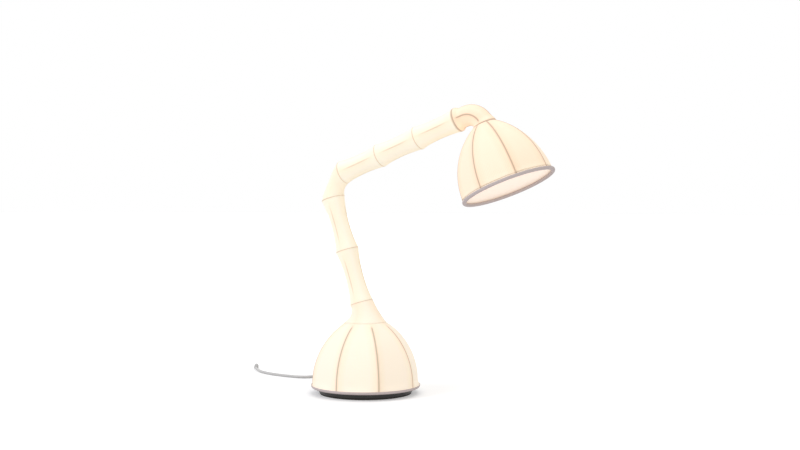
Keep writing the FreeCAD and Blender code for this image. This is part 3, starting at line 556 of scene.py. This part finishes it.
def knit_tube(name, rings, wires, first_wire, wales):
    """Stretch a knit tube over lengthwise wires, as a closed skin with its thickness.

    rings are dicts: middle, across and round (two unit vectors), girth, flat (how much of the
    way to a flat panel), slack (between skin and wire), hoop (distance to a hoop) and run."""
    panel = 2 * math.pi / wires
    half = panel / 2
    widest = max(ring["girth"] for ring in rings)
    edge = [distance / widest for distance in CREASE]
    inner = [edge[-1] + (panel - 2 * edge[-1]) * line / PANEL_LINES
             for line in range(1, PANEL_LINES)]
    steps = edge + inner + [panel - step for step in reversed(edge[1:])]
    angles = [wire * panel + step for wire in range(wires) for step in steps]
    columns = len(angles)
    outside = []
    for ring in rings:
        row = []
        for angle in angles:
            aside = math.fmod(angle, panel) - half
            flat = 1 - math.cos(half) / math.cos(aside)
            radius = ring["girth"] * (1 - ring["flat"] * flat)
            turn = angle + first_wire
            row.append(ring["middle"] + ring["across"] * (radius * math.cos(turn))
                       + ring["round"] * (radius * math.sin(turn)))
        outside.append(row)
    inside = []
    for j, row in enumerate(outside):
        before, after = outside[max(j - 1, 0)], outside[min(j + 1, len(rings) - 1)]
        offset = []
        for i, point in enumerate(row):
            sideways = row[(i + 1) % columns] - row[i - 1]
            lengthways = after[i] - before[i]
            normal = sideways.cross(lengthways).normalized()
            offset.append(point - normal * KNIT)
        inside.append(offset)
    sheet = outside + inside[::-1]
    points = [point for row in sheet for point in row]
    faces, marks = [], []
    rows = len(rings)
    lines = list(range(rows)) + list(range(rows))[::-1]
    for j in range(len(sheet)):
        k = (j + 1) % len(sheet)
        low, high = rings[lines[j]]["run"] / COURSE, rings[lines[k]]["run"] / COURSE
        for i in range(columns):
            m = (i + 1) % columns
            faces.append((j * columns + i, j * columns + m, k * columns + m, k * columns + i))
            left = angles[i] / (2 * math.pi) * wales
            right = (angles[m] if m else 2 * math.pi) / (2 * math.pi) * wales
            marks += [(left, low), (right, low), (right, high), (left, high)]
    mesh = bpy.data.meshes.new(name)
    mesh.from_pydata([point * MM for point in points], [], faces)
    stitches = mesh.uv_layers.new(name="stitches")
    for loop, mark in zip(stitches.data, marks):
        loop.uv = mark
    under = mesh.attributes.new("wires_under", "FLOAT_VECTOR", "POINT")
    values = []
    for line in lines:
        ring = rings[line]
        for angle in angles:
            turned_by = math.fmod(angle, panel)
            aside = min(turned_by, panel - turned_by) * ring["girth"]
            values += [aside, ring["hoop"], ring["slack"]]
    under.data.foreach_set("vector", values)
    for polygon in mesh.polygons:
        polygon.use_smooth = True
    piece = bpy.data.objects.new(name, mesh)
    bpy.context.scene.collection.objects.link(piece)
    return piece


def knit(name, deep, pale, wire_shadow_tone, rib_width, rib_shadow, hoop_width, hoop_shadow, glow):
    """Make a knit of polyester yarn: painted shade near the wires, pale mid-panel, and the wires'
    shadows painted on it as soft dark lines.
    """
    material, tree, shader = new_material(name, pale, .85, IOR=1.5)
    shader.inputs["Sheen Weight"].default_value = .15
    shader.inputs["Sheen Roughness"].default_value = .5
    shader.inputs["Specular IOR Level"].default_value = .2

    under = add(tree, "ShaderNodeAttribute", attribute_name="wires_under")
    under = add(tree, "ShaderNodeSeparateXYZ", {0: under.outputs["Vector"]})

    def line(distance, width, darkness):
        """A painted shadow line: darkness at a wire, and less with the square of the distance to
        it.
        """
        share = add(tree, "ShaderNodeMath", {0: distance, 1: width}, operation="DIVIDE")
        square = add(tree, "ShaderNodeMath", {0: share.outputs[0], 1: 2.0}, operation="POWER")
        minus = add(tree, "ShaderNodeMath", {0: square.outputs[0], 1: -1.0}, operation="MULTIPLY")
        bell = add(tree, "ShaderNodeMath", {0: minus.outputs[0]}, operation="EXPONENT")
        return add(tree, "ShaderNodeMath", {0: bell.outputs[0], 1: darkness}, operation="MULTIPLY")

    # painted shadows: the wires block the light from inside, so the knit is drawn darker along them
    rib_line = line(under.outputs["X"], rib_width, rib_shadow)
    loose = line(under.outputs["Z"], LOOSE, 1.0)
    rib_line = add(tree, "ShaderNodeMath", {0: rib_line.outputs[0], 1: loose.outputs[0]},
                   operation="MULTIPLY")
    hoop_line = line(under.outputs["Y"], hoop_width, hoop_shadow)
    dark = add(tree, "ShaderNodeMath", {0: rib_line.outputs[0], 1: hoop_line.outputs[0]},
               operation="MAXIMUM")

    # painted shade: the knit turns deeper towards each wire, broken up by a random cloud
    near = add(tree, "ShaderNodeMapRange", {"Value": under.outputs["X"], "From Max": WIRE_SHADE_REACH,
                                            "To Min": 1.0, "To Max": 0.0})
    where = add(tree, "ShaderNodeTexCoord")
    cloud = add(tree, "ShaderNodeTexNoise", {"Vector": where.outputs["Object"], "Scale": 14.0,
                                             "Detail": 2.0})
    depth = add(tree, "ShaderNodeMath", {0: near.outputs["Result"], 1: cloud.outputs["Fac"]},
                operation="MULTIPLY")
    cloth = add(tree, "ShaderNodeMix", {"Factor": depth.outputs[0], 6: linear(pale),
                                        7: linear(deep)}, data_type="RGBA")

    stitches = add(tree, "ShaderNodeUVMap", uv_map="stitches")
    stitches = add(tree, "ShaderNodeSeparateXYZ", {0: stitches.outputs["UV"]})
    wale = add(tree, "ShaderNodeMath", {0: stitches.outputs["X"]}, operation="FRACT")
    wale = add(tree, "ShaderNodeMath", {0: wale.outputs[0], 1: .5}, operation="SUBTRACT")
    wale = add(tree, "ShaderNodeMath", {0: wale.outputs[0]}, operation="ABSOLUTE")
    slant = add(tree, "ShaderNodeMath", {0: wale.outputs[0], 1: LEG_SLANT,
                                         2: stitches.outputs["Y"]}, operation="MULTIPLY_ADD")
    turn = add(tree, "ShaderNodeMath", {0: slant.outputs[0], 1: 2 * math.pi}, operation="MULTIPLY")
    leg = add(tree, "ShaderNodeMath", {0: turn.outputs[0]}, operation="SINE")
    valley = add(tree, "ShaderNodeMath", {0: wale.outputs[0], 1: -2.0, 2: 1.0},
                 operation="MULTIPLY_ADD")
    loop = add(tree, "ShaderNodeMath", {0: leg.outputs[0], 1: LEG_RELIEF, 2: valley.outputs[0]},
               operation="MULTIPLY_ADD")
    # painted shade in the knit's recesses: the valleys between wales are drawn darker
    shade = add(tree, "ShaderNodeMapRange", {"Value": loop.outputs[0], "From Min": -LEG_RELIEF,
                                             "From Max": 1 + LEG_RELIEF, "To Min": VALLEY_SHADE,
                                             "To Max": 1.0})
    stitched = add(tree, "ShaderNodeVectorMath", {0: cloth.outputs[2],
                                                  1: shade.outputs["Result"]},
                   operation="MULTIPLY")
    lined = add(tree, "ShaderNodeMix", {"Factor": dark.outputs[0], 6: stitched.outputs[0],
                                        7: linear(wire_shadow_tone)}, data_type="RGBA")
    bump = add(tree, "ShaderNodeBump", {"Height": loop.outputs[0], "Strength": .25,
                                        "Distance": .0004})
    tree.links.new(lined.outputs[2], shader.inputs["Base Color"])
    tree.links.new(lined.outputs[2], shader.inputs["Emission Color"])
    shader.inputs["Emission Strength"].default_value = glow
    tree.links.new(bump.outputs["Normal"], shader.inputs["Normal"])
    return material


# Knitted polyester, drawn tight: matt warm white with fine wales, lit through, so that it glows,
# and the wires' shadows in that light are painted on it as soft dark lines, with painted shade near
# them.
base_knit = knit("base_warm_white_knit", deep="#f3dcc0", pale="#f6ead8", wire_shadow_tone="#a8957d",
                 rib_width=1.7, rib_shadow=.75, hoop_width=1.5, hoop_shadow=.5, glow=.3)

BASE_RADIUS = 100.0
BASE_RIM = 14.6                     # level of the rim hoop's middle
BASE_WALL_TOP = 21.2
BASE_CURVE = 128.4
BASE_CROWN_RADIUS = 38.4
BASE_ROWS = 36
BASE_EASE = 16                      # from either edge, over which the panels turn flat
FAR = 60.0                          # a distance at which a wire's line doesn't show
CROWN_SLACK = 3.0                   # at the base's crown, where the ribs' lines have faded
SLACK_RUN = 5.0                     # distance from the crown that takes up 1 mm of it


def bell_rings(radius, curve, crown_radius, wall, to_row, steps, flatness, ease, crown_line):
    """Return the rings of a bell: a short wall, then an arc in to the crown.

    to_row turns the bell's own frame, with its wall's top at 0, into the row frame."""
    crown_angle = math.acos((crown_radius - radius + curve) / curve)
    length = wall + curve * crown_angle
    runs = [0, 2, 4, wall] + [wall + (length - wall) * step / steps for step in range(1, steps + 1)]
    middle_of = to_row.to_translation() / MM
    turn = to_row.to_3x3()
    rings = []
    for run in runs:
        angle = max(run - wall, 0) / curve
        girth = radius - curve + curve * math.cos(angle)
        height = min(run - wall, 0) + curve * math.sin(angle)
        fade = min(run / ease, 1) * min((length - run) / ease, 1)
        rings.append({
            "middle": middle_of + turn @ Vector((0, 0, height)),
            "across": turn @ Vector((1, 0, 0)), "round": turn @ Vector((0, 1, 0)),
            "girth": girth, "flat": flatness * fade * (2 - fade),
            "slack": 0 if crown_line else max(0, CROWN_SLACK - (length - run) / SLACK_RUN),
            "hoop": length - run if crown_line else FAR, "run": run})
    return rings


PANEL_FLATNESS = .8
base_wall = BASE_WALL_TOP - BASE_RIM
base_place = Matrix.Translation((0, 0, BASE_WALL_TOP * MM))
base_cover = knit_tube(
    "base_knit_cover",
    bell_rings(BASE_RADIUS, BASE_CURVE, BASE_CROWN_RADIUS, base_wall, base_place, BASE_ROWS,
               PANEL_FLATNESS, BASE_EASE, False),
    RIBS, 0, round(2 * math.pi * BASE_RADIUS / WALE))
base_cover.data.materials.append(base_knit)
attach(base_cover, "base")
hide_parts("base_cover")

HEM_WIDTH = 3.1                     # from the rim hoop's middle to the outside of the skin
HEM_TAPE = .5                       # how far the binding stands out from the skin
HEM_START, HEM_END = 28, -205       # degrees about the rim hoop's wire
HEM_STEPS = 18
HEM_LIP = 1.6                       # how far the binding's edge reaches up the skin
HEM_CLEAR = .02


def rolled_hem(name, ring_radius, level, to_row):
    """Roll a binding round a rim hoop: out over the skin's edge, under the hoop and in.

    Its faces come out turned inwards."""
    outer = HEM_WIDTH + HEM_TAPE
    inner = HEM_WIDTH - KNIT
    first, last = math.radians(HEM_START), math.radians(HEM_END)
    path = [first + (last - first) * step / HEM_STEPS for step in range(HEM_STEPS + 1)]
    outline = [(ring_radius + outer * math.cos(a), level + outer * math.sin(a)) for a in path]
    outline += [(ring_radius + inner * math.cos(a), level + inner * math.sin(a))
                for a in reversed(path) if a < -.2]
    skin = ring_radius + HEM_WIDTH + HEM_CLEAR
    outline += [(skin, level), (skin, level + HEM_LIP)]
    return turned(name, outline + outline[:1], to_row, 192)


# Woven polyester tape: matt, with fine cross ribs. Its lilac grey, darker than the knit, is partly
# the binding's own tone and partly painted shade at the rim, where hoop and double layer keep back
# the light.
tape, tree, shader = new_material("woven_binding_tape", "#c9bdbd", .8, IOR=1.5)
where = add(tree, "ShaderNodeTexCoord")
weave = add(tree, "ShaderNodeTexNoise", {"Vector": where.outputs["Object"], "Scale": 420.0,
                                         "Detail": 2.0})
tint = add(tree, "ShaderNodeMix", {"Factor": weave.outputs["Fac"], 6: linear("#bfb2b2"),
                                   7: linear("#d3c8c6")}, data_type="RGBA")
tree.links.new(tint.outputs[2], shader.inputs["Base Color"])
bump = add(tree, "ShaderNodeBump", {"Height": weave.outputs["Fac"], "Strength": .3,
                                    "Distance": .0003})
tree.links.new(bump.outputs["Normal"], shader.inputs["Normal"])

base_hem = rolled_hem("base_rolled_hem", BASE_RADIUS - HEM_WIDTH, BASE_RIM, Matrix())
base_hem.data.materials.append(tape)
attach(base_hem, "base")

# ---- neck sleeve ----
# The same knit, drawn in from the base's crown to the stem's first hoop. It covers the neck hinge.

NECK_HINGE = 139.455
STEM_LEAN = 17.9
TUBE_RADIUS = 21.9
WAIST_RADIUS = 18.8
NECK_TO_HOOP = 28.0
NECK_LOW = 8.3                      # from the base's crown to the neck hinge
NECK_FLARE = 2.2
NECK_RINGS = 22

neck_rings = []
for step in range(NECK_RINGS + 1):
    share = step / NECK_RINGS
    lean = math.radians(-STEM_LEAN * share)
    axis = Vector((math.sin(lean), 0, math.cos(lean)))
    height = (NECK_TO_HOOP + NECK_LOW) * share - NECK_LOW
    neck_rings.append({
        "middle": Vector((0, 0, NECK_HINGE)) + axis * height,
        "across": Vector((math.cos(lean), 0, -math.sin(lean))), "round": Vector((0, 1, 0)),
        "girth": TUBE_RADIUS + (BASE_CROWN_RADIUS - TUBE_RADIUS) * (1 - share) ** NECK_FLARE,
        "flat": 0, "slack": NO_WIRE, "hoop": NECK_TO_HOOP - height, "run": height})
neck_knit = knit("neck_warm_white_knit", deep="#f3dcc0", pale="#f6ead8", wire_shadow_tone="#a8957d",
                 rib_width=1.7, rib_shadow=.0, hoop_width=1.1, hoop_shadow=.45, glow=.3)
neck_sleeve = knit_tube("neck_knit_sleeve", neck_rings, 4, 0,
                        round(2 * math.pi * BASE_CROWN_RADIUS / WALE))
neck_sleeve.data.materials.append(neck_knit)
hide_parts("neck_sleeve")
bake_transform(neck_sleeve)

# ---- stem cover ----
# A knit tube over three hoops, drawn in between them against four rails. Where it lies on a rail,
# the rail's shadow is painted on it as a soft dark line.

STEM_BAY = 100.9
STEM_BAYS = 2
BAY_ROWS = 22
TUBE_FLATNESS = .42                 # mid-bay, between two rails


def waisted_rings(origin, axis, across, levels):
    """Return the rings of a tube that is full at each level and drawn in between."""
    rings = []
    for bay, (low, high) in enumerate(zip(levels, levels[1:])):
        rows = range(0 if bay == 0 else 1, BAY_ROWS + 1)
        for row in rows:
            share = row / BAY_ROWS
            share = .5 - .5 * math.cos(math.pi * share) if row not in (0, BAY_ROWS) else share
            height = low + (high - low) * share
            sag = 4 * share * (1 - share)
            rings.append({
                "middle": origin + axis * height, "across": across, "round": axis.cross(across),
                "girth": TUBE_RADIUS - (TUBE_RADIUS - WAIST_RADIUS) * sag,
                "flat": TUBE_FLATNESS * sag, "slack": (TUBE_RADIUS - WAIST_RADIUS) * (1 - sag),
                "hoop": min(height - low, high - height), "run": height})
    return rings


stem_lean = math.radians(-STEM_LEAN)
stem_axis = Vector((math.sin(stem_lean), 0, math.cos(stem_lean)))
stem_across = Vector((math.cos(stem_lean), 0, -math.sin(stem_lean)))
stem_levels = [NECK_TO_HOOP + STEM_BAY * bay for bay in range(STEM_BAYS + 1)]
tube_wales = round(2 * math.pi * TUBE_RADIUS / WALE)
tube_knit = knit("arm_warm_white_knit", deep="#f4e3c6", pale="#f7efdd", wire_shadow_tone="#ab9679",
                 rib_width=1.4, rib_shadow=.4, hoop_width=1.2, hoop_shadow=.5, glow=.3)
stem_cover = knit_tube("stem_knit_cover",
                       waisted_rings(Vector((0, 0, NECK_HINGE)), stem_axis, stem_across,
                                     stem_levels), 4, 0, tube_wales)
stem_cover.data.materials.append(tube_knit)
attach(stem_cover, "stem")
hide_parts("stem_cover")

# ---- elbow sleeve ----
# The knit goes on round the elbow with no rail under it, so that it cuts the corner and draws in.
# It covers the elbow hinge.

ELBOW_BEND = 39.4
ELBOW_WAIST = 16.5
ELBOW_DRAW = 6.9
ARM_RISE = 20.6
ELBOW_RINGS = 32
elbow_turn = 90 - ARM_RISE + STEM_LEAN
elbow_centre = (Vector((0, 0, NECK_HINGE)) + stem_axis * stem_levels[-1]
                + stem_across * ELBOW_BEND)
elbow_rings = []
for step in range(ELBOW_RINGS + 1):
    share = step / ELBOW_RINGS
    pinch = math.sin(math.pi * share)
    turn = math.radians(elbow_turn * share - STEM_LEAN)
    across = Vector((math.cos(turn), 0, -math.sin(turn)))
    run = ELBOW_BEND * math.radians(elbow_turn) * share
    elbow_rings.append({
        "middle": elbow_centre + across * (ELBOW_DRAW * pinch - ELBOW_BEND),
        "across": across, "round": Vector((0, 1, 0)),
        "girth": TUBE_RADIUS - (TUBE_RADIUS - ELBOW_WAIST) * pinch,
        "flat": 0, "slack": NO_WIRE,
        "hoop": min(share, 1 - share) * ELBOW_BEND * math.radians(elbow_turn), "run": run})
elbow_knit = knit("elbow_warm_white_knit", deep="#f4e3c6", pale="#f6ecd8", wire_shadow_tone="#ab9679",
                  rib_width=1.4, rib_shadow=.0, hoop_width=1.2, hoop_shadow=.5, glow=.3)
elbow_sleeve = knit_tube("elbow_knit_sleeve", elbow_rings, 4, 0, tube_wales)
elbow_sleeve.data.materials.append(elbow_knit)
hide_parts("elbow_sleeve")
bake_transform(elbow_sleeve)

# ---- arm cover ----
# The stem's knit again, over three bays. It ends just short of the head's hoop, where the swivel
# plate carries its last edge.

ARM_BAY = 84.7
ARM_BAYS = 3
ARM_SHORT = 1.7
arm_turn = math.radians(90 - ARM_RISE)
arm_axis = Vector((math.sin(arm_turn), 0, math.cos(arm_turn)))
arm_across = Vector((math.cos(arm_turn), 0, -math.sin(arm_turn)))
arm_start = elbow_centre - arm_across * ELBOW_BEND
arm_levels = [ARM_BAY * bay for bay in range(ARM_BAYS)] + [ARM_BAY * ARM_BAYS - ARM_SHORT]
arm_cover = knit_tube("arm_knit_cover",
                      waisted_rings(arm_start, arm_axis, arm_across, arm_levels),
                      4, 0, tube_wales)
arm_cover.data.materials.append(tube_knit)
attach(arm_cover, "arm")
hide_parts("arm_cover")

# ---- bend cover ----
# The head's knit, coloured warmer and deeper than the arm's: painted shade for the lower light
# inside the head. It is drawn over the head's hoop, lies on four bent rails round the bend, and
# opens to the shade's crown hoop.

HEAD_STRAIGHT = 15.3
HEAD_BEND = 29.3
HEAD_TURN = 87.6
HEAD_FLARE = 9.0
HEAD_EDGE = 1.25                    # how far the skin reaches back past the hoop's middle
BEND_ROWS = 30
CROWN_FLARE = 9.0                   # length over which the bend opens to the shade's crown
head_start = arm_start + arm_axis * ARM_BAY * ARM_BAYS
bend_centre = head_start + arm_axis * HEAD_STRAIGHT + arm_across * HEAD_BEND
bend_length = HEAD_BEND * math.radians(HEAD_TURN)
bend_rings = []
bend_runs = [-HEAD_EDGE, 0, 1.5, 3, 4.5, 6, 7.5, HEAD_FLARE, 12, HEAD_STRAIGHT]
bend_runs += [HEAD_STRAIGHT + bend_length * step / BEND_ROWS for step in range(1, BEND_ROWS + 1)]
bend_end = bend_runs[-1]
for run in bend_runs:
    turn = max(run - HEAD_STRAIGHT, 0) / HEAD_BEND
    across = arm_across * math.cos(turn) - arm_axis * math.sin(turn)
    if run <= HEAD_STRAIGHT:
        middle = head_start + arm_axis * run
    else:
        middle = bend_centre - across * HEAD_BEND
    opening = max(1 - max(run - 1.5, 0) / (HEAD_FLARE - 1.5), 1 - (bend_end - run) / CROWN_FLARE,
                  0)
    opening = opening * opening * (3 - 2 * opening)
    bend_rings.append({
        "middle": middle, "across": across, "round": Vector((0, 1, 0)),
        "girth": WAIST_RADIUS + (TUBE_RADIUS - WAIST_RADIUS) * opening,
        "flat": TUBE_FLATNESS * (1 - opening), "slack": 2.4 * opening,
        "hoop": min(abs(run), bend_end - run), "run": run})
# warmer and deeper than the arm's knit: painted shade for the lower light inside the head
head_knit = knit("head_warm_white_knit", deep="#f3d6b8", pale="#f6e4cc", wire_shadow_tone="#9c8069",
                 rib_width=1.5, rib_shadow=.7, hoop_width=1.4, hoop_shadow=.7, glow=.3)
bend_cover = knit_tube("bend_knit_cover", bend_rings, 4, 0, tube_wales)
bend_cover.data.materials.append(head_knit)
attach(bend_cover, "head")
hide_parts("bend_cover")

# ---- shade cover ----
# A second bell of the head's knit, over eight ribs, bound at its rim like the base.

SHADE_RADIUS = 84.4
SHADE_CURVE = 136.1
SHADE_WALL = 4.5
SHADE_RIB_TURN = -9.0
SHADE_ROWS = 34
SHADE_EASE = 14
RIM_WIRE = 4.0
shade_end = math.radians(90 - ARM_RISE + HEAD_TURN)
shade_axis = Vector((math.sin(shade_end), 0, math.cos(shade_end)))
shade_across = Vector((math.cos(shade_end), 0, -math.sin(shade_end)))
shade_crown = bend_rings[-1]["middle"]
shade_depth = SHADE_CURVE * math.sin(math.acos((TUBE_RADIUS - SHADE_RADIUS + SHADE_CURVE)
                                               / SHADE_CURVE))
dome_frame = Matrix((-shade_across, Vector((0, 1, 0)), -shade_axis)).transposed().to_4x4()
dome_frame.translation = (shade_crown + shade_axis * shade_depth) * MM
shade_rim = RIM_WIRE / 2 - SHADE_WALL
shade_cover = knit_tube(
    "shade_knit_cover",
    bell_rings(SHADE_RADIUS, SHADE_CURVE, TUBE_RADIUS, -shade_rim, dome_frame, SHADE_ROWS,
               PANEL_FLATNESS, SHADE_EASE, True),
    RIBS, math.radians(SHADE_RIB_TURN), round(2 * math.pi * SHADE_RADIUS / WALE))
shade_cover.data.materials.append(head_knit)
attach(shade_cover, "head")
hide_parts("shade_cover")
shade_hem = rolled_hem("shade_rolled_hem", SHADE_RADIUS - HEM_WIDTH, shade_rim, dome_frame)
shade_hem.data.materials.append(tape)
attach(shade_hem, "head")

# ---- diffuser ----
# A disc of opal sheet with a shallow crown, sprung into the shade's mouth above the rim hoop.

DIFFUSER_RADIUS = 80.6
DIFFUSER_THICKNESS = 2.0
DIFFUSER_LOW = 4.1                  # of its face, above the rim's edge
DIFFUSER_CROWN = 1.2
DIFFUSER_RINGS = 13
low = DIFFUSER_LOW - SHADE_WALL
outline = [(0, low + DIFFUSER_CROWN)]
for step in range(1, DIFFUSER_RINGS):
    r = DIFFUSER_RADIUS * step / DIFFUSER_RINGS
    outline.append((r, low + DIFFUSER_CROWN * (1 - (step / DIFFUSER_RINGS) ** 2)))
outline += [(DIFFUSER_RADIUS, low, .5), (DIFFUSER_RADIUS, low + DIFFUSER_THICKNESS, .5),
            (0, low + DIFFUSER_THICKNESS + DIFFUSER_CROWN)]
diffuser = turned("opal_diffuser", eased(outline), dome_frame, 160)

# Opal PETG sheet: milky peach by the light behind it, satin, with a faint random cloud.
opal_sheet, tree, shader = new_material("opal_petg_sheet", "#f0dcc8", .4, IOR=1.57)
cloud = add(tree, "ShaderNodeTexNoise", {"Scale": 22.0, "Detail": 2.0})
tint = add(tree, "ShaderNodeMix", {"Factor": cloud.outputs["Fac"], 6: linear("#eed9c4"),
                                   7: linear("#f2e0ce")}, data_type="RGBA")
tree.links.new(tint.outputs[2], shader.inputs["Base Color"])
tree.links.new(tint.outputs[2], shader.inputs["Emission Color"])
shader.inputs["Emission Strength"].default_value = .3
diffuser.data.materials.append(opal_sheet)
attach(diffuser, "head")
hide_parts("diffuser")

# ---- the end ----

bpy.context.view_layer.update()
